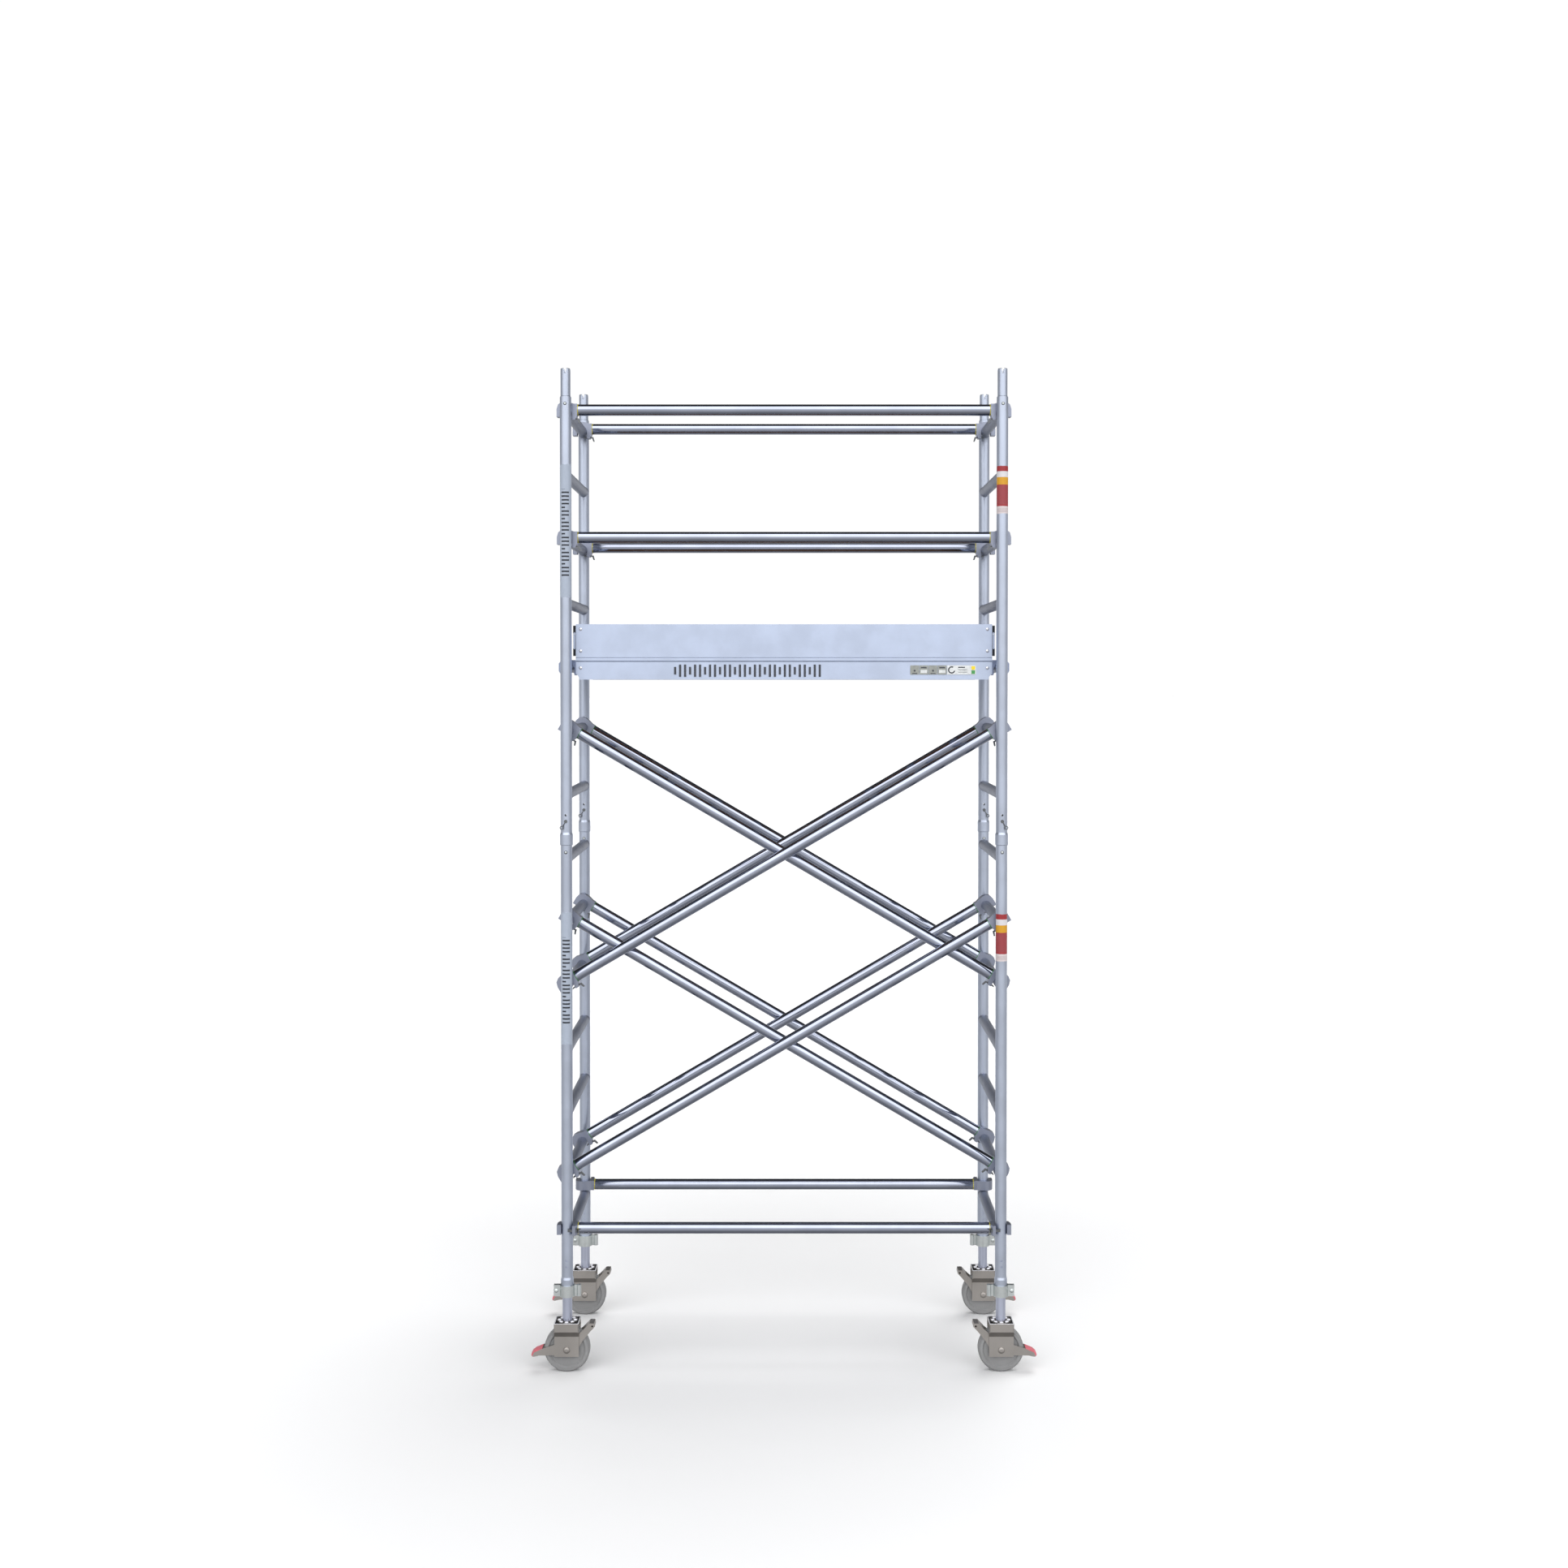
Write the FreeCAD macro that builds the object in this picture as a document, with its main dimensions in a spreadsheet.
import FreeCAD, Part
import math
import os

import Sketcher
from FreeCAD import Placement, Rotation, Vector

# Mobile tower scaffold: X runs along the bay, Y across it, Z up, and the origin lies on the floor
# under the middle of the tower.

driving = {
    # tower
    "bay_length": 1910,
    "frame_width": 700,
    "frame_height": 1960,
    "frame_foot": 360,
    "leg_radius": 25,
    "leg_wall": 2,
    "collar_wall": 3,
    "collar_height": 46,
    "collar_taper": 10,
    "rung_radius": 23,
    "rung_wall": 2,
    "rung_pitch": 280,
    "first_rung": 220,
    "weld_gap": 0.1,
    # spigots, rivets and clips
    "spigot_play": 1.5,
    "spigot_gap": 0.1,
    "spigot_step": 2,
    "spigot_wall": 3,
    "spigot_out": 124,
    "spigot_in": 130,
    "spigot_chamfer": 2,
    "slot_width": 11,
    "slot_depth": 12,
    "rivet_rise": 6,
    "rivet_radius": 4,
    "rivet_head_radius": 5.5,
    "rivet_head_height": 2.4,
    "hole_gap": 0.1,
    "clip_height": 105,
    "clip_radius": 4,
    "clip_head_radius": 7.5,
    "clip_head_thickness": 4,
    "clip_wire_radius": 1.7,
    "clip_loop_radius": 6.5,
    "clip_drop": 33,
    "clip_lean": 33,
    "spare_hole_rise": 27,
    "spare_hole_radius": 4.5,
    # braces and rails
    "brace_radius": 25,
    "brace_wall": 2,
    "brace_rise": 12,
    "near_inset": 52,
    "far_inset": 103,
    "rail_inset": 56,
    "base_rail_rise": 24,
    "claw_reach": 46,
    "claw_nose": 44,
    "claw_width": 44,
    "claw_crown": 9,
    "claw_lip": 20,
    "claw_socket": 45,
    "jaw_gap": 0.3,
    "plug_gap": 0.1,
    "latch_width": 12,
    "latch_thickness": 6,
    "latch_tip": 6,
    "latch_tail": 52,
    "latch_tab": 15,
    "latch_play": 1.7,
    "slide_gap": 0.4,
    # platform
    "deck_length": 1836,
    "deck_inset": 50,
    "deck_thickness": 12,
    "deck_over_rung": 44,
    "beam_under_rung": 54,
    "beam_wall": 3,
    "beam_flange": 30,
    "beam_notch": 14,
    "notch_height": 23,
    "edge_height": 20,
    "edge_proud": 3,
    "end_beam_width": 30,
    "cross_bar_width": 40,
    "cross_bar_height": 24,
    "toe_height": 146,
    "toe_thickness": 20,
    "toe_wall": 2.5,
    "toe_rivet_radius": 6,
    "toe_rivet_height": 2,
    "toe_rivet_inset": 21,
    "toe_rivet_margin": 22,
    "fitting_plate": 3,
    "fitting_width": 36,
    "fitting_margin": 6,
    "fitting_block": 34,
    "fitting_depth": 10,
    "hook_width": 32,
    "hook_inset": 38,
    "hook_wall": 18,
    "hook_crown": 9,
    "hook_lip": 26,
    "hatch_length": 600,
    "hatch_side": 80,
    "hatch_centre": 520,
    "hatch_gap": 1.5,
    "hatch_lift": 0.3,
    "hatch_ledge": 15,
    "grip_radius": 20,
    "grip_inset": 60,
    "hinge_radius": 5,
    "hinge_pin_radius": 2.5,
    "hinge_length": 80,
    "hinge_knuckle": 26,
    "hinge_leaf": 24,
    "hinge_leaf_thickness": 2,
    "hinge_spacing": 400,
    # castors
    "wheel_radius": 100,
    "wheel_width": 50,
    "wheel_rim": 18,
    "wheel_dish": 7,
    "hub_radius": 26,
    "axle_radius": 10,
    "axle_head_radius": 15,
    "axle_head_height": 5,
    "running_gap": 0.05,
    "side_gap": 1,
    "fork_length": 108,
    "fork_plate": 4,
    "fork_drop": 29,
    "head_width": 100,
    "head_gap": 9,
    "head_thickness": 12,
    "head_skirt": 36,
    "head_slope": 25,
    "head_corner": 4,
    "bearing_radius": 46,
    "bearing_rib": 11,
    "bearing_height": 3,
    "bearing_ribs": 8,
    "kingpin_radius": 10,
    "kingpin_length": 9,
    "stem_play": 1.7,
    "stem_wall": 4,
    "stem_top": 660,
    "stem_gap": 0.08,
    "lever_plate": 3,
    "lever_hub": 30,
    "pedal_reach": 152,
    "pedal_drop": 20,
    "pedal_width": 26,
    "release_reach": 115,
    "release_rise": 108,
    "release_width": 26,
    "lever_bar": 7,
    "lever_hole": 4.5,
    # foot clamps
    "clamp_below": 30,
    "clamp_above": 20,
    "clamp_wall": 5,
    "clamp_barrel_radius": 10,
    "clamp_barrel_reach": 51,
    "clamp_flange_reach": 59,
    "clamp_flange": 7,
    "clamp_split": 5,
    "clamp_web": 9,
    "bolt_radius": 5,
    "bolt_head_radius": 9,
    "bolt_head_height": 6,
    "bolt_reach": 48,
}

document = FreeCAD.newDocument("tower")
sheet = document.addObject("Spreadsheet::Sheet", "sizes")
for row, (alias, value) in enumerate(driving.items(), start=1):
    sheet.set(f"A{row}", alias)
    sheet.set(f"B{row}", str(value))
    sheet.setAlias(f"B{row}", alias)
document.recompute()

size = {alias: float(sheet.get(alias)) for alias in driving}
nodes = []


# ---- sketching and feature helpers ----

def sketch_on(body, role, name, shift="0"):
    sketch = body.newObject("Sketcher::SketchObject", name)
    plane = next(feature for feature in body.Origin.OriginFeatures if feature.Role == role)
    sketch.AttachmentSupport = [(plane, "")]
    sketch.MapMode = "FlatFace"
    sketch.setExpression("AttachmentOffset.Base.z", shift)
    return sketch


def pin_to_origin(sketch, curve, point, across, up):
    for kind, distance in (("DistanceX", across), ("DistanceY", up)):
        index = sketch.addConstraint(Sketcher.Constraint(kind, -1, 1, curve, point, 1.0))
        sketch.setExpression(f"Constraints[{index}]", distance)


def polygon(body, role, name, corners, shift="0"):
    sketch = sketch_on(body, role, name, shift)
    count = len(corners)
    turn = 2 * math.pi / count
    start = [Vector(math.cos(turn * i), -math.sin(turn * i), 0) * 10 for i in range(count)]
    for i in range(count):
        sketch.addGeometry(Part.LineSegment(start[i], start[(i + 1) % count]), False)
    for i in range(count):
        sketch.addConstraint(Sketcher.Constraint("Coincident", i, 2, (i + 1) % count, 1))
    for i, (across, up) in enumerate(corners):
        pin_to_origin(sketch, i, 1, across, up)
    return sketch


def rectangle(body, role, name, low, high, shift="0"):
    corners = [(low[0], low[1]), (high[0], low[1]), (high[0], high[1]), (low[0], high[1])]
    return polygon(body, role, name, corners, shift)


def circles(body, role, name, rings, shift="0"):
    sketch = sketch_on(body, role, name, shift)
    for i, (across, up, radius) in enumerate(rings):
        sketch.addGeometry(Part.Circle(Vector(10 * i, 0, 0), Vector(0, 0, 1), 4 + i), False)
        pin_to_origin(sketch, i, 3, across, up)
        index = sketch.addConstraint(Sketcher.Constraint("Radius", i, 1.0))
        sketch.setExpression(f"Constraints[{index}]", radius)
    return sketch


def new_body(name):
    return document.addObject("PartDesign::Body", name)


def pad(body, sketch, length, midplane=False):
    feature = body.newObject("PartDesign::Pad", sketch.Name + "_pad")
    feature.Profile = sketch
    feature.Midplane = midplane
    feature.setExpression("Length", length)
    return feature


def cut_through(body, sketch):
    feature = body.newObject("PartDesign::Pocket", sketch.Name + "_cut")
    feature.Profile = sketch
    feature.Midplane = True
    feature.Type = "ThroughAll"
    return feature


def cut_middle(body, sketch, length):
    feature = body.newObject("PartDesign::Pocket", sketch.Name + "_cut")
    feature.Profile = sketch
    feature.Midplane = True
    feature.setExpression("Length", length)
    return feature


def revolve(body, sketch, axis):
    feature = body.newObject("PartDesign::Revolution", sketch.Name + "_turned")
    feature.Profile = sketch
    feature.ReferenceAxis = (sketch, [axis])
    feature.Angle = 360
    return feature


def at(x, y, z, rotation=Rotation()):
    return Placement(Vector(x, y, z), rotation)


def about(axis, degrees):
    return Rotation(axis, degrees)


X_AXIS = Vector(1, 0, 0)
Y_AXIS = Vector(0, 1, 0)
Z_AXIS = Vector(0, 0, 1)
HALF_TURN = about(Z_AXIS, 180)


def node(label, pieces):
    # pieces: pairs of a template and the placement of one copy of it
    links = []
    for i, (template, placement) in enumerate(pieces):
        link = document.addObject("App::Link", f"{label}_copy{i}")
        link.LinkedObject = template
        link.LinkTransform = True
        link.LinkPlacement = placement
        links.append(link)
    compound = document.addObject("Part::Compound", label)
    compound.Links = links
    compound.Label = label
    nodes.append(compound)
    return compound


# ---- places that several pieces share ----

# sizes that follow from others, as the sheet's own expressions
bore_radius = "(sizes.leg_radius - sizes.leg_wall)"
collar_radius = "(sizes.leg_radius + sizes.collar_wall)"
spigot_radius = f"({bore_radius} - sizes.spigot_play)"
stem_radius = f"({bore_radius} - sizes.stem_play)"
deck_width = "(sizes.frame_width - 2 * sizes.deck_inset)"
hatch_width = f"({deck_width} - 2 * sizes.hatch_side)"

half_bay = size["bay_length"] / 2
half_frame = size["frame_width"] / 2
lower_foot = size["frame_foot"]
upper_foot = lower_foot + size["frame_height"]
tower_shoulder = upper_foot + size["frame_height"]
RUNGS_PER_FRAME = 7
rungs_span = f"(sizes.first_rung + {RUNGS_PER_FRAME - 1} * sizes.rung_pitch)"
rivet_drop = f"(sizes.frame_height - {rungs_span} - sizes.rung_radius - sizes.rivet_rise)"


def rung_height(foot, number):
    return foot + size["first_rung"] + size["rung_pitch"] * (number - 1)


levels = {"lower": lower_foot, "upper": upper_foot}
sides = {"left": -1, "right": 1}
planes = {"front": -1, "back": 1}
deck_rung = rung_height(upper_foot, 3)


# ---- end frames ----

def make_upright():
    body = new_body("upright")
    inner = "sizes.leg_radius - sizes.leg_wall"
    profile = polygon(body, "XZ_Plane", "upright_profile", [
        (inner, "0"),
        (f"{collar_radius} - sizes.leg_wall / 2", "0"),
        (collar_radius, "sizes.leg_wall"),
        (collar_radius, "sizes.collar_height"),
        ("sizes.leg_radius", "sizes.collar_height + sizes.collar_taper"),
        ("sizes.leg_radius", "sizes.frame_height"),
        (inner, "sizes.frame_height"),
    ])
    revolve(body, profile, "V_Axis")
    cross_holes = circles(body, "XZ_Plane", "upright_holes", [
        ("0", f"sizes.frame_height - {rivet_drop}", "sizes.rivet_radius + sizes.hole_gap"),
        ("0", "sizes.clip_height", "sizes.clip_radius + sizes.jaw_gap"),
        ("0", "sizes.clip_height + sizes.spare_hole_rise", "sizes.spare_hole_radius"),
    ])
    cut_through(body, cross_holes)
    return body


def make_rung():
    body = new_body("rung")
    ring = circles(body, "XZ_Plane", "rung_ring", [
        ("0", "0", "sizes.rung_radius"),
        ("0", "0", "sizes.rung_radius - sizes.rung_wall"),
    ])
    pad(body, ring, "sizes.frame_width", midplane=True)
    cope = circles(body, "XY_Plane", "rung_cope", [
        ("0", "-sizes.frame_width / 2", "sizes.leg_radius + sizes.weld_gap"),
        ("0", "sizes.frame_width / 2", "sizes.leg_radius + sizes.weld_gap"),
    ])
    cut_through(body, cope)
    return body


def make_spigot():
    # origin at the top of the upright that holds it; the shank fills the tube, the free end is slimmer
    body = new_body("spigot")
    shank = f"({bore_radius} - sizes.spigot_gap)"
    inner = f"{spigot_radius} - sizes.spigot_wall"
    profile = polygon(body, "XZ_Plane", "spigot_profile", [
        (inner, "-sizes.spigot_in"),
        (shank, "-sizes.spigot_in"),
        (shank, "sizes.spigot_step"),
        (spigot_radius, "2 * sizes.spigot_step"),
        (spigot_radius, "sizes.spigot_out - sizes.spigot_chamfer"),
        (f"{spigot_radius} - sizes.spigot_chamfer", "sizes.spigot_out"),
        (inner, "sizes.spigot_out"),
    ])
    revolve(body, profile, "V_Axis")
    for role, name in (("XZ_Plane", "spigot_slot_across"), ("YZ_Plane", "spigot_slot_along")):
        slot = rectangle(body, role, name,
                         ("-sizes.slot_width / 2", "sizes.spigot_out - sizes.slot_depth"),
                         ("sizes.slot_width / 2", "sizes.spigot_out + 1"))
        cut_through(body, slot)
    holes = circles(body, "XZ_Plane", "spigot_holes", [
        ("0", f"-{rivet_drop}", "sizes.rivet_radius + sizes.hole_gap"),
        ("0", "sizes.clip_height", "sizes.clip_radius + sizes.jaw_gap"),
    ])
    cut_through(body, holes)
    return body


def make_rivet(name, reach, shank, head, height):
    # a shank along Y with a low domed head at both ends
    body = new_body(name)
    half = [
        ("0", f"{reach} + {height}"),
        (f"{head} * 0.45", f"{reach} + {height}"),
        (f"{head} * 0.85", f"{reach} + {height} * 0.6"),
        (head, reach),
        (shank, reach),
    ]
    mirrored = [(across, f"-({up})") for across, up in reversed(half)]
    profile = polygon(body, "XY_Plane", name + "_profile", half + mirrored)
    revolve(body, profile, "V_Axis")
    return body


def make_clip():
    # the pin lies along Y, its head and wire loop stand in front of the upright
    face = "-(sizes.leg_radius + sizes.jaw_gap)"
    pin = document.addObject("Part::Cylinder", "clip_pin")
    pin.setExpression("Radius", "sizes.clip_radius")
    pin.setExpression("Height", "2 * sizes.leg_radius + sizes.clip_head_thickness")
    pin.setExpression("Placement.Base.y", face + " - sizes.clip_head_thickness / 2")
    pin.Placement.Rotation = about(X_AXIS, -90)
    head = document.addObject("Part::Cylinder", "clip_head")
    head.setExpression("Radius", "sizes.clip_head_radius")
    head.setExpression("Height", "sizes.clip_head_thickness")
    head.setExpression("Placement.Base.y", face)
    head.Placement.Rotation = about(X_AXIS, 90)
    middle = face + " - sizes.clip_head_thickness / 2"
    stalk = document.addObject("Part::Cylinder", "clip_stalk")
    stalk.setExpression("Radius", "sizes.clip_wire_radius")
    stalk.setExpression("Height", "sizes.clip_drop - sizes.clip_loop_radius")
    stalk.setExpression("Placement.Base.y", middle)
    stalk.setExpression("Placement.Base.z", "sizes.clip_loop_radius - sizes.clip_drop")
    loop = document.addObject("Part::Torus", "clip_loop")
    loop.setExpression("Radius1", "sizes.clip_loop_radius")
    loop.setExpression("Radius2", "sizes.clip_wire_radius")
    loop.setExpression("Placement.Base.y", middle)
    loop.setExpression("Placement.Base.z", "-sizes.clip_drop")
    loop.Placement.Rotation = about(X_AXIS, 90)
    clip = document.addObject("Part::MultiFuse", "clip")
    clip.Shapes = [pin, head, stalk, loop]
    return clip


upright = make_upright()
rung = make_rung()
spigot = make_spigot()
spigot_rivet = make_rivet("spigot_rivet", "(sizes.leg_radius + sizes.hole_gap)", "sizes.rivet_radius",
                          "sizes.rivet_head_radius", "sizes.rivet_head_height")
clip = make_clip()

for level, foot in levels.items():
    for side, sign in sides.items():
        node(f"uprights_{level}_{side}",
             [(upright, at(sign * half_bay, plane * half_frame, foot)) for plane in planes.values()])
        node(f"rungs_{level}_{side}",
             [(rung, at(sign * half_bay, 0, rung_height(foot, number)))
              for number in range(1, RUNGS_PER_FRAME + 1)])

corners = [(side, plane) for side in sides.values() for plane in planes.values()]
shoulders = {"lower": upper_foot, "upper": tower_shoulder}
for level, shoulder in shoulders.items():
    node(f"spigots_{level}",
         [(spigot, at(side * half_bay, plane * half_frame, shoulder)) for side, plane in corners])
rivet_below = (size["frame_height"] - rung_height(0, RUNGS_PER_FRAME) - size["rung_radius"]
               - size["rivet_rise"])
node("spigot_rivets",
     [(spigot_rivet, at(side * half_bay, plane * half_frame, shoulder - rivet_below))
      for shoulder in shoulders.values() for side, plane in corners])

clip_level = upper_foot + size["clip_height"]
for side, sign in sides.items():
    for plane, across in planes.items():
        lean = about(Y_AXIS, -sign * size["clip_lean"])
        node(f"frame_clip_{plane}_{side}",
             [(clip, at(sign * half_bay, across * half_frame, clip_level, lean))])


# ---- braces and rails ----
# A claw is drawn with the gripped tube at the origin, the brace along +X and the jaw open downwards.

def make_claw(name, gripped):
    body = new_body(name)
    jaw = f"({gripped} + sizes.jaw_gap)"
    top = "(sizes.brace_rise + sizes.brace_radius)"
    bottom = "(sizes.brace_rise - sizes.brace_radius)"
    latch_top = f"({jaw} + sizes.latch_play)"
    heel = f"-({latch_top} + sizes.latch_thickness + sizes.slide_gap + sizes.brace_wall)"
    outline = polygon(body, "XZ_Plane", name + "_outline", [
        ("-sizes.claw_nose", "-sizes.claw_lip"),
        ("-sizes.claw_nose", f"{top} * 0.35"),
        ("-sizes.claw_nose * 0.86", f"{top} * 0.9"),
        ("-sizes.claw_nose * 0.55", f"{top} + sizes.claw_crown * 0.8"),
        ("-sizes.claw_nose * 0.15", f"{top} + sizes.claw_crown"),
        ("sizes.claw_reach * 0.3", f"{top} + sizes.claw_crown * 0.6"),
        ("sizes.claw_reach * 0.7", top),
        ("sizes.claw_reach", top),
        ("sizes.claw_reach", bottom),
        (f"{jaw} + sizes.claw_lip * 0.7", heel),
        (f"{jaw} * 0.9", heel),
        (f"{jaw} * 0.9", "-sizes.claw_lip"),
    ])
    pad(body, outline, "sizes.claw_width", midplane=True)
    plug = circles(body, "YZ_Plane", name + "_plug",
                   [("0", "sizes.brace_rise", "sizes.brace_radius - sizes.brace_wall - sizes.plug_gap")],
                   shift="sizes.claw_reach - 1")
    pad(body, plug, "sizes.claw_socket + 1")
    cut_through(body, circles(body, "XZ_Plane", name + "_jaw", [("0", "0", jaw)]))
    mouth = rectangle(body, "XZ_Plane", name + "_mouth", (f"-{jaw}", f"-2 * {jaw}"), (jaw, "0"))
    cut_through(body, mouth)
    slot = rectangle(body, "XZ_Plane", name + "_slot",
                     ("0", f"-({latch_top} + sizes.latch_thickness + sizes.slide_gap)"),
                     ("2 * sizes.claw_reach", f"-({latch_top} - sizes.slide_gap)"))
    cut_middle(body, slot, "sizes.latch_width + 2 * sizes.slide_gap")
    return body


def make_latch(name, gripped):
    # a bar that slides under the gripped tube, with a finger tab at its tail
    body = new_body(name)
    upper = f"-({gripped} + sizes.jaw_gap + sizes.latch_play)"
    lower = f"({upper} - sizes.latch_thickness)"
    outline = polygon(body, "XZ_Plane", name + "_outline", [
        ("sizes.latch_tip", f"{upper} - sizes.latch_thickness * 0.6"),
        ("sizes.latch_tip + sizes.latch_thickness", upper),
        ("sizes.latch_tail", upper),
        ("sizes.latch_tail + sizes.latch_thickness", f"{lower} - sizes.latch_tab"),
        ("sizes.latch_tail", f"{lower} - sizes.latch_tab"),
        ("sizes.latch_tail - sizes.latch_thickness", lower),
        ("sizes.latch_tip", lower),
    ])
    pad(body, outline, "sizes.latch_width", midplane=True)
    return body


def make_brace_tube(name, span):
    # starts where the claw's socket ends and lies the brace's rise above the gripped tubes' line
    body = new_body(name)
    ring = circles(body, "YZ_Plane", name + "_ring", [
        ("0", "sizes.brace_rise", "sizes.brace_radius"),
        ("0", "sizes.brace_rise", "sizes.brace_radius - sizes.brace_wall"),
    ], shift="sizes.claw_reach")
    pad(body, ring, f"{span} - 2 * sizes.claw_reach")
    return body


DIAGONAL_RUNGS = 4
rise = f"({DIAGONAL_RUNGS} * sizes.rung_pitch)"
rail_tube = make_brace_tube("rail_tube", "sizes.bay_length")
brace_tube = make_brace_tube("brace_tube", f"sqrt(sizes.bay_length ^ 2 + {rise} ^ 2)")
rung_claw = make_claw("rung_claw", "sizes.rung_radius")
leg_claw = make_claw("leg_claw", "sizes.leg_radius")
rung_latch = make_latch("rung_latch", "sizes.rung_radius")
leg_latch = make_latch("leg_latch", "sizes.leg_radius")

diagonal_rise = DIAGONAL_RUNGS * size["rung_pitch"]
diagonal_length = math.hypot(size["bay_length"], diagonal_rise)
diagonal_angle = math.degrees(math.atan2(diagonal_rise, size["bay_length"]))


class Brace:
    # y: its plane; start: height at the left end; angle: slope; roll: turn about its own axis
    def __init__(self, y, start, angle=0.0, roll=0.0):
        slope = about(Y_AXIS, -angle)
        self.left = at(-half_bay, y, start, slope * about(X_AXIS, roll))
        end = start + size["bay_length"] * math.tan(math.radians(angle))
        self.right = at(half_bay, y, end, slope * HALF_TURN * about(X_AXIS, -roll))


def rail_pair(y, z):
    return [Brace(sign * y, z) for sign in planes.values()]


def diagonal_pair(plane, low, high):
    # the brace that rises to the right lies nearer to the viewer in both planes
    rising_inset = size["near_inset"] if plane < 0 else size["far_inset"]
    falling_inset = size["far_inset"] if plane < 0 else size["near_inset"]
    return {
        "rising": Brace(plane * (half_frame - rising_inset), low, diagonal_angle),
        "falling": Brace(plane * (half_frame - falling_inset), high, -diagonal_angle),
    }


rail_y = half_frame - size["rail_inset"]
top_rails = rail_pair(rail_y, rung_height(upper_foot, 7))
knee_rails = rail_pair(rail_y, rung_height(upper_foot, 5))
base_level = rung_height(lower_foot, 1) + size["rung_radius"] + size["base_rail_rise"]
base_rails = [Brace(-half_frame, base_level, roll=-90), Brace(half_frame, base_level, roll=90)]
lower_braces = {name: diagonal_pair(plane, rung_height(lower_foot, 2), rung_height(lower_foot, 6))
                for name, plane in planes.items()}
upper_braces = {name: diagonal_pair(plane, rung_height(lower_foot, 5), rung_height(upper_foot, 2))
                for name, plane in planes.items()}
rising = [pair["rising"] for pair in list(lower_braces.values()) + list(upper_braces.values())]
falling = [pair["falling"] for pair in list(lower_braces.values()) + list(upper_braces.values())]


def both_ends(piece, braces):
    return [(piece, end) for brace in braces for end in (brace.left, brace.right)]


guard_rails = top_rails + knee_rails
node("guard_rails", [(rail_tube, rail.left) for rail in guard_rails])
node("base_rails", [(rail_tube, rail.left) for rail in base_rails])
for level, pairs in (("lower", lower_braces), ("upper", upper_braces)):
    for plane, pair in pairs.items():
        node(f"{level}_braces_{plane}", [(brace_tube, brace.left) for brace in pair.values()])
node("guard_rail_claws", both_ends(rung_claw, guard_rails))
node("base_rail_claws", both_ends(leg_claw, base_rails))
node("lower_brace_claws",
     both_ends(rung_claw, [brace for pair in lower_braces.values() for brace in pair.values()]))
node("upper_brace_claws",
     both_ends(rung_claw, [brace for pair in upper_braces.values() for brace in pair.values()]))
node("rail_latches_left", [(rung_latch, rail.left) for rail in guard_rails]
     + [(leg_latch, rail.left) for rail in base_rails])
node("rail_latches_right", [(rung_latch, rail.right) for rail in guard_rails]
     + [(leg_latch, rail.right) for rail in base_rails])
for slope, braces in (("rising", rising), ("falling", falling)):
    node(f"{slope}_latches_left", [(rung_latch, brace.left) for brace in braces])
    node(f"{slope}_latches_right", [(rung_latch, brace.right) for brace in braces])


# ---- platform: drawn with the middle of the deck rungs' height at z = 0 ----

deck_top = "sizes.deck_over_rung"
deck_seat = "(sizes.deck_over_rung - sizes.deck_thickness)"
half_width = f"({deck_width} / 2)"
half_deck = "(sizes.deck_length / 2)"


def make_side_beam():
    body = new_body("side_beam")
    web = f"({half_width} - sizes.beam_wall)"
    flange = f"({half_width} - sizes.beam_flange)"
    foot = "-sizes.beam_under_rung"
    edge_foot = f"({deck_top} - sizes.edge_height)"
    section = polygon(body, "YZ_Plane", "side_beam_section", [
        (half_width, foot),
        (half_width, edge_foot),
        (f"{half_width} + sizes.edge_proud", f"{edge_foot} + sizes.beam_wall"),
        (f"{half_width} + sizes.edge_proud", f"{deck_top} - sizes.beam_wall"),
        (half_width, deck_top),
        (web, deck_top),
        (web, deck_seat),
        (flange, deck_seat),
        (flange, f"{deck_seat} - sizes.beam_wall"),
        (web, f"{deck_seat} - sizes.beam_wall"),
        (web, f"{foot} + sizes.beam_wall"),
        (flange, f"{foot} + sizes.beam_wall"),
        (flange, foot),
    ])
    pad(body, section, "sizes.deck_length", midplane=True)
    for side, sign in (("left", "-"), ("right", "")):
        notch = polygon(body, "XZ_Plane", f"side_beam_notch_{side}", [
            (f"{sign}{half_deck}", f"{foot} + sizes.notch_height"),
            (f"{sign}({half_deck} - sizes.beam_notch * 0.4)", f"{foot} + sizes.notch_height"),
            (f"{sign}({half_deck} - sizes.beam_notch)", f"{foot} + sizes.notch_height * 0.4"),
            (f"{sign}({half_deck} - sizes.beam_notch)", f"{foot} - 1"),
            (f"{sign}({half_deck} + 1)", f"{foot} - 1"),
            (f"{sign}({half_deck} + 1)", f"{foot} + sizes.notch_height"),
        ])
        cut_through(body, notch)
    return body


def make_box(name, length, width, height):
    # centred in X and Y, standing on z = 0
    box = document.addObject("Part::Box", name)
    box.setExpression("Length", length)
    box.setExpression("Width", width)
    box.setExpression("Height", height)
    box.setExpression("Placement.Base.x", f"-({length}) / 2")
    box.setExpression("Placement.Base.y", f"-({width}) / 2")
    return box


def make_hollow_bar(name, length, width, height):
    # a box section that runs along Y, open at its ends
    outer = make_box(name + "_outer", length, width, height)
    inner = make_box(name + "_inner", f"{length} - 2 * sizes.beam_wall", f"{width} + 2",
                     f"{height} - 2 * sizes.beam_wall")
    inner.setExpression("Placement.Base.z", "sizes.beam_wall")
    bar = document.addObject("Part::Cut", name)
    bar.Base = outer
    bar.Tool = inner
    return bar


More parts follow.
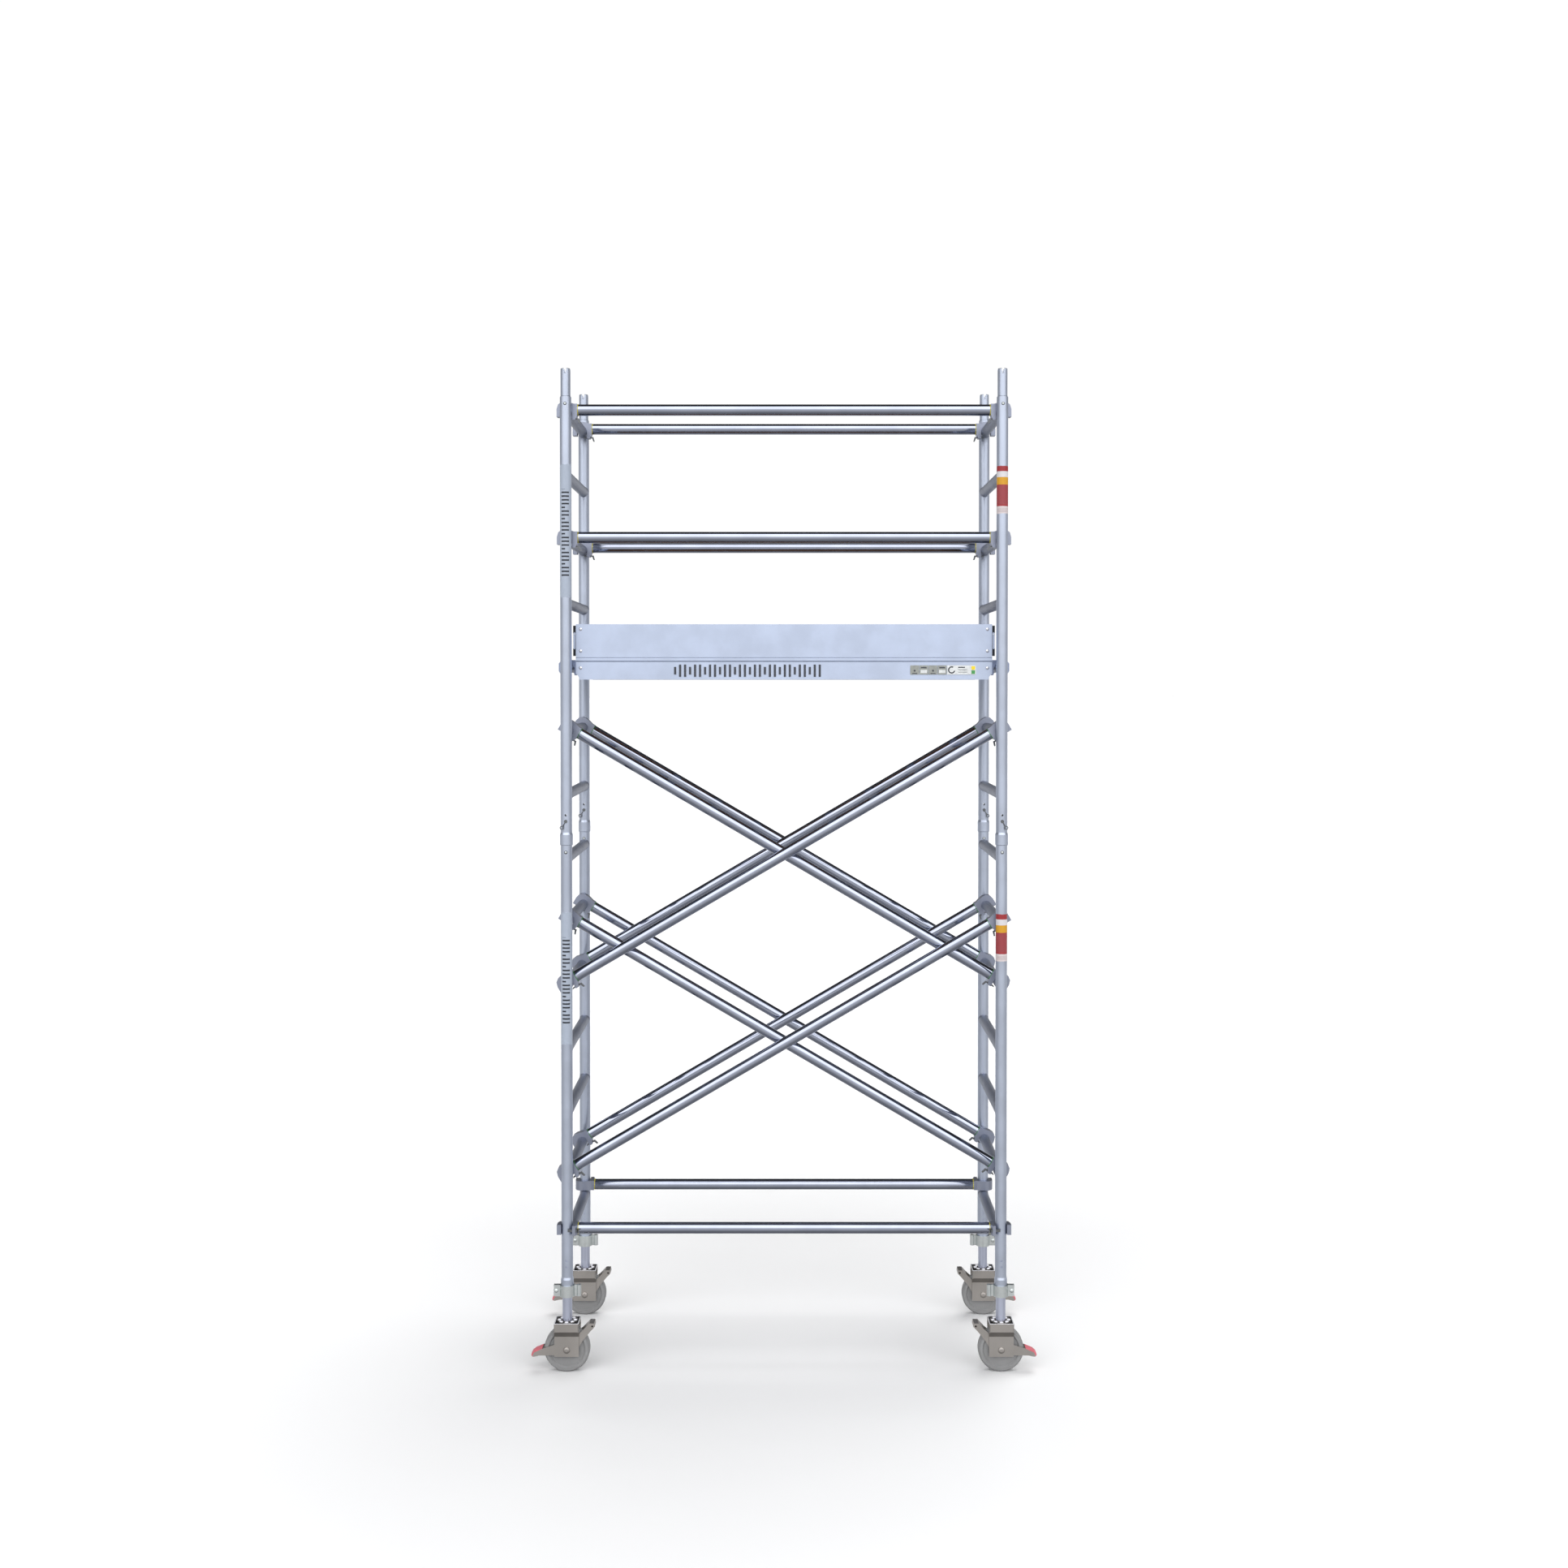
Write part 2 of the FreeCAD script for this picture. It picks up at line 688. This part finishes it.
def make_toe_board(name, length):
    # a channel that runs along X, open towards -Y, standing on z = 0
    body = new_body(name)
    outer = "(sizes.toe_thickness / 2)"
    section = polygon(body, "YZ_Plane", name + "_section", [
        (outer, "0"),
        (outer, "sizes.toe_height"),
        (f"-{outer}", "sizes.toe_height"),
        (f"-{outer}", "sizes.toe_height - sizes.toe_thickness / 2"),
        (f"-{outer} + sizes.toe_wall", "sizes.toe_height - sizes.toe_thickness / 2"),
        (f"-{outer} + sizes.toe_wall", "sizes.toe_height - sizes.toe_wall"),
        (f"{outer} - sizes.toe_wall", "sizes.toe_height - sizes.toe_wall"),
        (f"{outer} - sizes.toe_wall", "sizes.toe_wall"),
        (f"-{outer} + sizes.toe_wall", "sizes.toe_wall"),
        (f"-{outer} + sizes.toe_wall", "sizes.toe_thickness / 2"),
        (f"-{outer}", "sizes.toe_thickness / 2"),
        (f"-{outer}", "0"),
    ])
    pad(body, section, length, midplane=True)
    return body


def make_deck():
    body = new_body("deck")
    inner_width = f"({half_width} - sizes.beam_wall)"
    sheet_outline = rectangle(body, "XY_Plane", "deck_outline", (f"-{half_deck}", f"-{inner_width}"),
                              (half_deck, inner_width), shift=deck_seat)
    pad(body, sheet_outline, "sizes.deck_thickness")
    hatch_way = rectangle(
        body, "XY_Plane", "deck_hatch_way",
        ("-(sizes.hatch_centre + sizes.hatch_length / 2)", f"-{hatch_width} / 2"),
        ("-(sizes.hatch_centre - sizes.hatch_length / 2)", f"{hatch_width} / 2"))
    cut_through(body, hatch_way)
    return body


def make_hatch_lid():
    # drawn round the middle of the hatch way
    body = new_body("hatch_lid_panel")
    reach = "(sizes.hatch_length / 2 - sizes.hatch_gap)"
    across = f"({hatch_width} / 2 - sizes.hatch_gap)"
    outline = rectangle(body, "XY_Plane", "lid_outline", (f"-{reach}", f"-{across}"), (reach, across),
                        shift=f"{deck_seat} + sizes.hatch_lift")
    pad(body, outline, "sizes.deck_thickness - sizes.hatch_lift")
    grip = circles(body, "XY_Plane", "lid_grip",
                   [("0", f"sizes.grip_inset - {across}", "sizes.grip_radius")])
    cut_through(body, grip)
    return body


def make_knuckle(name, length, leaf_sign, bore):
    # a barrel along X above the deck, with a leaf that lies on the deck beside it
    body = new_body(name)
    barrel = circles(body, "YZ_Plane", name + "_barrel",
                     [("0", f"{deck_top} + sizes.hinge_radius + sizes.jaw_gap", "sizes.hinge_radius")])
    pad(body, barrel, length, midplane=True)
    near = f"{leaf_sign}(sizes.hinge_radius * 0.5)"
    leaf = polygon(body, "YZ_Plane", name + "_leaf", [
        (near, f"{deck_top} + sizes.jaw_gap + sizes.hinge_radius * 1.2"),
        (f"{leaf_sign}(sizes.hinge_radius * 1.3)", deck_top),
        (f"{leaf_sign}sizes.hinge_leaf", deck_top),
        (f"{leaf_sign}sizes.hinge_leaf", f"{deck_top} + sizes.hinge_leaf_thickness"),
        (f"{leaf_sign}(sizes.hinge_radius * 2)", f"{deck_top} + sizes.hinge_leaf_thickness"),
        (near, f"{deck_top} + sizes.jaw_gap + sizes.hinge_radius * 1.8"),
    ])
    pad(body, leaf, length, midplane=True)
    pin_hole = circles(body, "YZ_Plane", name + "_bore",
                       [("0", f"{deck_top} + sizes.hinge_radius + sizes.jaw_gap", bore)])
    cut_through(body, pin_hole)
    return body


def make_hook():
    # grips the right-hand deck rung from above; the platform lies towards -X
    body = new_body("hook")
    jaw = "(sizes.rung_radius + sizes.jaw_gap)"
    inner = f"-(sizes.bay_length / 2 - {half_deck})"
    outline = polygon(body, "XZ_Plane", "hook_outline", [
        (inner, "-sizes.hook_lip - sizes.hook_crown"),
        (f"{inner} + sizes.hook_wall * 0.5", "-sizes.hook_lip - sizes.hook_crown"),
        (f"{inner} + sizes.hook_wall * 0.5", "0"),
        (f"{jaw} * 0.5", "0"),
        (f"{jaw} * 0.5", "-sizes.hook_lip"),
        (f"{jaw} + sizes.hook_wall * 0.7", "-sizes.hook_lip"),
        (f"{jaw} + sizes.hook_wall", "-sizes.hook_lip * 0.6"),
        (f"{jaw} + sizes.hook_wall", f"{jaw} * 0.7"),
        (f"{jaw} + sizes.hook_wall * 0.6", f"{jaw} + sizes.hook_crown * 0.3"),
        (f"{jaw} * 0.6", f"{jaw} + sizes.hook_crown"),
        (inner, f"{jaw} + sizes.hook_crown"),
    ])
    pad(body, outline, "sizes.hook_width", midplane=True)
    cut_through(body, circles(body, "XZ_Plane", "hook_jaw", [("0", "0", jaw)]))
    mouth = rectangle(body, "XZ_Plane", "hook_mouth", (f"-{jaw}", f"-2 * {jaw}"), (jaw, "0"))
    cut_through(body, mouth)
    return body


def make_corner_fitting():
    # stands on the outer face of an end toe board; drawn for the corner at +X, +Y
    plate = make_box("fitting_plate_box", "sizes.fitting_plate", "sizes.fitting_width",
                     "sizes.toe_height - 2 * sizes.fitting_margin")
    inset = "sizes.fitting_plate / 2"
    blocks = []
    for name, low in (("low", "0"),
                      ("high", "sizes.toe_height - 2 * sizes.fitting_margin - sizes.fitting_block")):
        block = make_box(f"fitting_block_{name}", "sizes.fitting_depth", "sizes.fitting_depth * 1.6",
                         "sizes.fitting_block")
        block.setExpression("Placement.Base.x", inset)
        block.setExpression("Placement.Base.z", low)
        blocks.append(block)
    rod = document.addObject("Part::Cylinder", "fitting_rod")
    rod.setExpression("Radius", "sizes.hinge_pin_radius")
    rod.setExpression("Height", "sizes.toe_height - 2 * sizes.fitting_margin")
    rod.setExpression("Placement.Base.x", f"{inset} + sizes.fitting_depth / 2")
    fitting = document.addObject("Part::MultiFuse", "corner_fitting")
    fitting.Shapes = [plate, rod] + blocks
    return fitting


side_beam = make_side_beam()
deck = make_deck()
hatch_lid = make_hatch_lid()
hook = make_hook()
corner_fitting = make_corner_fitting()
bored = "sizes.hinge_pin_radius + sizes.running_gap"
fixed_knuckle = make_knuckle("fixed_knuckle", "sizes.hinge_knuckle", "", bored)
moving_knuckle = make_knuckle("moving_knuckle", "sizes.hinge_knuckle - 2 * sizes.slide_gap", "-", bored)
end_beam = make_hollow_bar("end_beam", "sizes.end_beam_width",
                           f"2 * ({half_width} - sizes.beam_wall)",
                           f"{deck_seat} - sizes.beam_wall + sizes.beam_under_rung - sizes.notch_height")
cross_bar = make_hollow_bar("cross_bar", "sizes.cross_bar_width",
                            f"2 * ({half_width} - sizes.beam_flange)", "sizes.cross_bar_height")
long_toe_board = make_toe_board("long_toe_board", "sizes.deck_length")
end_toe_board = make_toe_board("end_toe_board", f"{deck_width} - 2 * sizes.toe_thickness")
hinge_pin = document.addObject("Part::Cylinder", "hinge_pin")
hinge_pin.setExpression("Radius", "sizes.hinge_pin_radius")
hinge_pin.setExpression("Height", "sizes.hinge_knuckle * 2")
hinge_pin.setExpression("Placement.Base.x", "-sizes.hinge_knuckle")
hinge_pin.Placement.Rotation = about(Y_AXIS, 90)
toe_rivet = document.addObject("Part::Cone", "toe_rivet")
toe_rivet.setExpression("Radius1", "sizes.toe_rivet_radius")
toe_rivet.setExpression("Radius2", "sizes.toe_rivet_radius * 0.6")
toe_rivet.setExpression("Height", "sizes.toe_rivet_height")

deck_half_length = size["deck_length"] / 2
deck_half_width = half_frame - size["deck_inset"]
deck_surface = deck_rung + size["deck_over_rung"]
deck_bottom = deck_surface - size["deck_thickness"]
hatch_x = -size["hatch_centre"]
turned_back = {-1: HALF_TURN, 1: Rotation()}

node("platform_side_beams", [(side_beam, at(0, 0, deck_rung, turned_back[sign])) for sign in (-1, 1)])
end_beam_x = deck_half_length - size["end_beam_width"] / 2
end_beam_z = deck_rung - size["beam_under_rung"] + size["notch_height"]
node("platform_end_beams", [(end_beam, at(sign * end_beam_x, 0, end_beam_z)) for sign in (-1, 1)])

ledge_shift = size["cross_bar_width"] / 2 - size["hatch_ledge"]
hatch_ends = [hatch_x + sign * (size["hatch_length"] / 2 + ledge_shift) for sign in (-1, 1)]
plain_span = end_beam_x - hatch_ends[1]
PLAIN_BARS = 3
bar_places = hatch_ends + [hatch_ends[1] + plain_span * number / (PLAIN_BARS + 1)
                           for number in range(1, PLAIN_BARS + 1)]
node("platform_cross_bars",
     [(cross_bar, at(x, 0, deck_bottom - size["cross_bar_height"])) for x in bar_places])
node("platform_deck", [(deck, at(0, 0, deck_rung))])

hook_y = deck_half_width - size["hook_inset"]
node("platform_hooks",
     [(hook, at(side * half_bay, plane * hook_y, deck_rung, turned_back[side]))
      for side, plane in corners])

hinge_y = deck_half_width - size["hatch_side"]
hinge_places = [hatch_x + sign * size["hinge_spacing"] / 2 for sign in (-1, 1)]
knuckle_step = size["hinge_knuckle"]
fixed_pieces = [(fixed_knuckle, at(x + sign * knuckle_step, hinge_y, deck_rung))
                for x in hinge_places for sign in (-1, 1)]
axis_rise = size["deck_over_rung"] + size["hinge_radius"] + size["jaw_gap"]
pins = [(hinge_pin, at(x, hinge_y, deck_rung + axis_rise)) for x in hinge_places]
node("hatch_hinges", fixed_pieces + pins)
node("hatch_lid", [(hatch_lid, at(hatch_x, 0, deck_rung))]
     + [(moving_knuckle, at(x, hinge_y, deck_rung)) for x in hinge_places])

toe_y = deck_half_width - size["toe_thickness"] / 2
toe_x = deck_half_length - size["toe_thickness"] / 2
node("toe_boards_long",
     [(long_toe_board, at(0, sign * toe_y, deck_surface, turned_back[sign])) for sign in (-1, 1)])
node("toe_boards_end",
     [(end_toe_board, at(sign * toe_x, 0, deck_surface, about(Z_AXIS, -sign * 90))) for sign in (-1, 1)])
fitting_x = deck_half_length + size["fitting_plate"] / 2
fitting_y = deck_half_width - size["fitting_width"] / 2
node("toe_board_fittings",
     [(corner_fitting, at(side * fitting_x, plane * fitting_y, deck_surface + size["fitting_margin"],
                          turned_back[side])) for side, plane in corners])

rivet_x = deck_half_length - size["toe_rivet_inset"]
rivet_heights = [deck_surface + size["toe_rivet_margin"] + size["fitting_margin"],
                 deck_surface + size["toe_height"] - size["toe_rivet_margin"]]
outward = {-1: about(X_AXIS, 90), 1: about(X_AXIS, -90)}
node("platform_rivets",
     [(toe_rivet, at(side * rivet_x, plane * deck_half_width, z, outward[plane]))
      for side, plane in corners for z in rivet_heights + [deck_rung - size["fitting_margin"] / 2]])


# ---- castors: drawn with the floor at z = 0 under the stem ----

lever_inner = "(sizes.wheel_width / 2 + sizes.side_gap)"
lever_outer = f"({lever_inner} + sizes.lever_plate)"
fork_inner = f"({lever_outer} + sizes.side_gap)"
fork_outer = f"({fork_inner} + sizes.fork_plate)"
head_under = "(2 * sizes.wheel_radius + sizes.head_gap)"
head_top = f"({head_under} + sizes.head_thickness)"


def make_wheel():
    body = new_body("wheel_disc")
    half = "(sizes.wheel_width / 2)"
    rim = "(sizes.wheel_radius - sizes.wheel_rim)"
    dished = f"({half} - sizes.wheel_dish)"
    section = polygon(body, "YZ_Plane", "wheel_section", [
        (f"-{half}", "sizes.axle_radius + sizes.running_gap"),
        (half, "sizes.axle_radius + sizes.running_gap"),
        (half, "sizes.hub_radius"),
        (dished, "sizes.hub_radius + sizes.wheel_dish"),
        (dished, f"{rim} - sizes.wheel_dish"),
        (half, rim),
        (half, "sizes.wheel_radius - sizes.wheel_dish"),
        (f"{half} * 0.6", "sizes.wheel_radius"),
        (f"-{half} * 0.6", "sizes.wheel_radius"),
        (f"-{half}", "sizes.wheel_radius - sizes.wheel_dish"),
        (f"-{half}", rim),
        (f"-{dished}", f"{rim} - sizes.wheel_dish"),
        (f"-{dished}", "sizes.hub_radius + sizes.wheel_dish"),
        (f"-{half}", "sizes.hub_radius"),
    ])
    revolve(body, section, "H_Axis")
    return body


def make_fork():
    body = new_body("fork_shell")
    skirt_foot = f"({head_top} - sizes.head_skirt)"
    neck = f"({skirt_foot} - sizes.head_slope)"
    half_head = "(sizes.head_width / 2)"
    inside_head = f"({half_head} - sizes.fork_plate)"
    plate_foot = "(sizes.wheel_radius - sizes.fork_drop)"
    outer = [
        (half_head, head_top),
        (half_head, skirt_foot),
        (fork_outer, neck),
        (fork_outer, plate_foot),
        (fork_inner, plate_foot),
        (fork_inner, f"{neck} + sizes.fork_plate * 0.5"),
        (inside_head, f"{skirt_foot} + sizes.fork_plate * 0.5"),
        (inside_head, head_under),
    ]
    mirrored = [(f"-{across}", up) for across, up in reversed(outer)]
    pad(body, polygon(body, "YZ_Plane", "fork_section", outer + mirrored), "sizes.fork_length",
        midplane=True)
    half_length = "(sizes.fork_length / 2)"
    for along in ("", "-"):
        for across in ("", "-"):
            corner = polygon(body, "XY_Plane", "fork_corner", [
                (f"{along}({half_length} + 1)", f"{across}({half_head} + 1)"),
                (f"{along}({half_length} + 1)", f"{across}({half_head} - sizes.head_corner)"),
                (f"{along}{half_length}", f"{across}({half_head} - sizes.head_corner)"),
                (f"{along}({half_length} - sizes.head_corner)", f"{across}{half_head}"),
                (f"{along}({half_length} - sizes.head_corner)", f"{across}({half_head} + 1)"),
            ], shift="sizes.wheel_radius")
            cut_through(body, corner)
    bearing = circles(body, "XY_Plane", "fork_bearing", [
        ("0", "0", "sizes.bearing_radius"),
        ("0", "0", "sizes.bearing_radius - sizes.bearing_height"),
    ], shift=f"{head_top} - sizes.bearing_height")
    pad(body, bearing, "2 * sizes.bearing_height")
    inner_ring = circles(body, "XY_Plane", "fork_inner_ring", [
        ("0", "0", f"{stem_radius} + sizes.side_gap + sizes.bearing_height"),
        ("0", "0", f"{stem_radius} + sizes.side_gap"),
    ], shift=f"{head_top} - sizes.bearing_height")
    pad(body, inner_ring, "2 * sizes.bearing_height")
    rib = rectangle(body, "XY_Plane", "fork_rib",
                    (f"{stem_radius} + sizes.side_gap + 1", "-sizes.bearing_rib / 2"),
                    ("sizes.bearing_radius - 1", "sizes.bearing_rib / 2"),
                    shift=f"{head_top} - 1")
    rib_pad = pad(body, rib, "sizes.bearing_height + 1")
    document.recompute()
    ribs = body.newObject("PartDesign::PolarPattern", "fork_ribs")
    ribs.Originals = [rib_pad]
    ribs.Axis = (rib, ["N_Axis"])
    ribs.Angle = 360
    ribs.setExpression("Occurrences", "sizes.bearing_ribs")
    body.Tip = ribs
    cut_through(body, circles(body, "XY_Plane", "fork_kingpin_bore",
                              [("0", "0", "sizes.kingpin_radius + sizes.running_gap")]))
    cut_through(body, circles(body, "XZ_Plane", "fork_axle_bore",
                              [("0", "sizes.wheel_radius", "sizes.axle_radius + sizes.running_gap")]))
    return body


def make_lever():
    # two plates beside the wheel, joined past its rim by a bar at each arm; the pedal points to -X
    body = new_body("lever_plates")
    axle = "sizes.wheel_radius"
    pedal_tip = "(sizes.wheel_radius - sizes.pedal_drop)"
    release_tip = "(sizes.wheel_radius + sizes.release_rise)"
    outline = polygon(body, "XZ_Plane", "lever_outline", [
        ("-sizes.pedal_reach", f"{pedal_tip} - sizes.pedal_width * 0.3"),
        ("-sizes.pedal_reach * 0.95", f"{pedal_tip} + sizes.pedal_width * 0.3"),
        ("-sizes.pedal_reach * 0.72", f"{pedal_tip} + sizes.pedal_width * 0.95"),
        ("-sizes.lever_hub", f"{axle} + sizes.lever_hub"),
        ("sizes.lever_hub * 0.6", f"{axle} + sizes.lever_hub * 1.4"),
        ("sizes.release_reach * 0.62", f"{release_tip} - sizes.release_width * 0.8"),
        ("sizes.release_reach - sizes.release_width * 0.6", release_tip + " + sizes.lever_bar * 1.2"),
        ("sizes.release_reach + sizes.release_width * 0.2", release_tip + " + sizes.lever_bar * 1.2"),
        ("sizes.release_reach + sizes.release_width * 0.3", release_tip + " - sizes.lever_bar"),
        ("sizes.release_reach - sizes.release_width * 0.4", release_tip + " - sizes.release_width"),
        ("sizes.release_reach * 0.62", f"{axle} + sizes.release_width * 1.6"),
        ("sizes.lever_hub * 1.4", f"{axle} - sizes.lever_bar"),
        ("sizes.lever_hub * 0.5", f"{axle} - sizes.lever_hub * 0.9"),
        ("-sizes.lever_hub * 2", f"{axle} - sizes.lever_hub * 0.8"),
        ("-sizes.pedal_reach * 0.8", f"{pedal_tip} - sizes.pedal_width * 0.2"),
        ("-sizes.pedal_reach * 0.95", f"{pedal_tip} - sizes.pedal_width * 0.4"),
    ])
    pad(body, outline, f"2 * {lever_outer}", midplane=True)
    hollow = polygon(body, "XZ_Plane", "lever_hollow", [
        ("-(sizes.wheel_radius + sizes.head_gap) * 1.08", "0"),
        ("-(sizes.wheel_radius + sizes.head_gap) * 1.08", "2 * sizes.wheel_radius + sizes.head_gap"),
        ("sizes.release_reach * 0.55", "2 * sizes.wheel_radius + sizes.head_gap"),
        ("sizes.release_reach * 0.9", f"{release_tip} - sizes.release_width * 1.1"),
        ("sizes.release_reach * 1.4", f"{axle}"),
        ("sizes.release_reach * 1.4", "0"),
    ])
    cut_middle(body, hollow, f"2 * {lever_inner}")
    cut_through(body, circles(body, "XZ_Plane", "lever_holes", [
        ("0", axle, "sizes.axle_radius + sizes.running_gap"),
        ("sizes.release_reach - sizes.lever_bar * 0.4", f"{release_tip} - sizes.lever_bar * 0.6",
         "sizes.lever_hole"),
    ]))
    return body


def make_stem():
    body = new_body("stem_tube")
    bearing_gap = "sizes.jaw_gap"
    seat = f"({head_top} + {bearing_gap})"
    plug = f"({seat} + 3 * sizes.stem_wall)"
    section = polygon(body, "XZ_Plane", "stem_section", [
        ("0", f"{seat} - sizes.kingpin_length"),
        ("sizes.kingpin_radius", f"{seat} - sizes.kingpin_length"),
        ("sizes.kingpin_radius", seat),
        (stem_radius, seat),
        (stem_radius, "sizes.stem_top"),
        (f"{stem_radius} - sizes.stem_wall", "sizes.stem_top"),
        (f"{stem_radius} - sizes.stem_wall", plug),
        ("0", plug),
    ])
    revolve(body, section, "V_Axis")
    return body


wheel = make_wheel()
fork = make_fork()
lever = make_lever()
stem = make_stem()
axle_reach = f"({fork_outer} + sizes.side_gap * 0.1)"
axle = make_rivet("axle", axle_reach, "sizes.axle_radius", "sizes.axle_head_radius",
                  "sizes.axle_head_height")

for side, sign in sides.items():
    # the pedal points outwards along the bay on both sides of the tower
    facing = HALF_TURN if sign > 0 else Rotation()
    for plane, across in planes.items():
        foot = at(sign * half_bay, across * half_frame, 0, facing)
        hub = at(sign * half_bay, across * half_frame, size["wheel_radius"], facing)
        node(f"castor_stem_{plane}_{side}", [(stem, foot)])
        node(f"castor_fork_{plane}_{side}", [(fork, foot), (axle, hub)])
        node(f"castor_brake_{plane}_{side}", [(lever, foot)])
        node(f"castor_wheel_{plane}_{side}", [(wheel, hub)])


# ---- foot clamps: drawn with the upright's foot at z = 0, the hinge barrel towards -X ----

def make_clamp():
    body = new_body("clamp")
    upright_bore = f"({collar_radius} + sizes.jaw_gap)"
    stem_bore = f"({stem_radius} + sizes.stem_gap)"
    outer = f"({upright_bore} + sizes.clamp_wall)"
    section = polygon(body, "XZ_Plane", "clamp_section", [
        (stem_bore, "-sizes.clamp_below"),
        (outer, "-sizes.clamp_below"),
        (outer, "sizes.clamp_above"),
        (upright_bore, "sizes.clamp_above"),
        (upright_bore, "-sizes.jaw_gap"),
        (stem_bore, "-sizes.jaw_gap"),
    ])
    revolve(body, section, "V_Axis")
    height = "sizes.clamp_below + sizes.clamp_above"
    foot = "-sizes.clamp_below"
    web = rectangle(body, "XY_Plane", "clamp_web",
                    ("-sizes.clamp_barrel_reach", "-sizes.clamp_web / 2"),
                    (f"-{upright_bore} - 1", "sizes.clamp_web / 2"), shift=foot)
    pad(body, web, height)
    barrel = circles(body, "XY_Plane", "clamp_barrel",
                     [("-sizes.clamp_barrel_reach", "0", "sizes.clamp_barrel_radius")], shift=foot)
    pad(body, barrel, height)
    for name, sign in (("front", "-"), ("back", "")):
        flange = rectangle(body, "XY_Plane", f"clamp_flange_{name}",
                           (f"{upright_bore} + 1", f"{sign}sizes.clamp_split / 2"),
                           ("sizes.clamp_flange_reach",
                            f"{sign}(sizes.clamp_split / 2 + sizes.clamp_flange)"), shift=foot)
        pad(body, flange, height)
    split = rectangle(body, "XY_Plane", "clamp_split_cut", ("0", "-sizes.clamp_split / 2"),
                      ("sizes.clamp_flange_reach + 1", "sizes.clamp_split / 2"), shift=foot)
    cut_through(body, split)
    cut_through(body, circles(body, "XZ_Plane", "clamp_bolt_hole",
                              [("sizes.bolt_reach", "(sizes.clamp_above - sizes.clamp_below) / 2",
                                "sizes.bolt_radius + sizes.hole_gap")]))
    return body


clamp = make_clamp()
clamp_bolt = make_rivet("clamp_bolt", "(sizes.clamp_split / 2 + sizes.clamp_flange)",
                        "sizes.bolt_radius", "sizes.bolt_head_radius", "sizes.bolt_head_height")
clamp_middle = lower_foot + (size["clamp_above"] - size["clamp_below"]) / 2
node("foot_clamps",
     [(clamp, at(side * half_bay, plane * half_frame, lower_foot, turned_back[side]))
      for side, plane in corners])
node("clamp_bolts",
     [(clamp_bolt, at(side * (half_bay + size["bolt_reach"]), plane * half_frame, clamp_middle))
      for side, plane in corners])


# ---- check and export ----

document.recompute()
for item in document.Objects:
    if "Invalid" in item.State or "Error" in item.State:
        raise RuntimeError(f"{item.Label} failed: {item.State}")
os.makedirs("parts", exist_ok=True)
for item in nodes:
    shape = item.Shape
    if shape.isNull() or not shape.isValid():
        raise RuntimeError(f"{item.Label} has no valid shape")
    if any(solid.Volume <= 0 for solid in shape.Solids) or not shape.Solids:
        raise RuntimeError(f"{item.Label} has an empty solid")
    shape.exportStep(f"parts/{item.Label}.step")
    print(item.Label, len(shape.Solids), round(shape.Volume / 1000, 1))
print(len(nodes), "nodes")
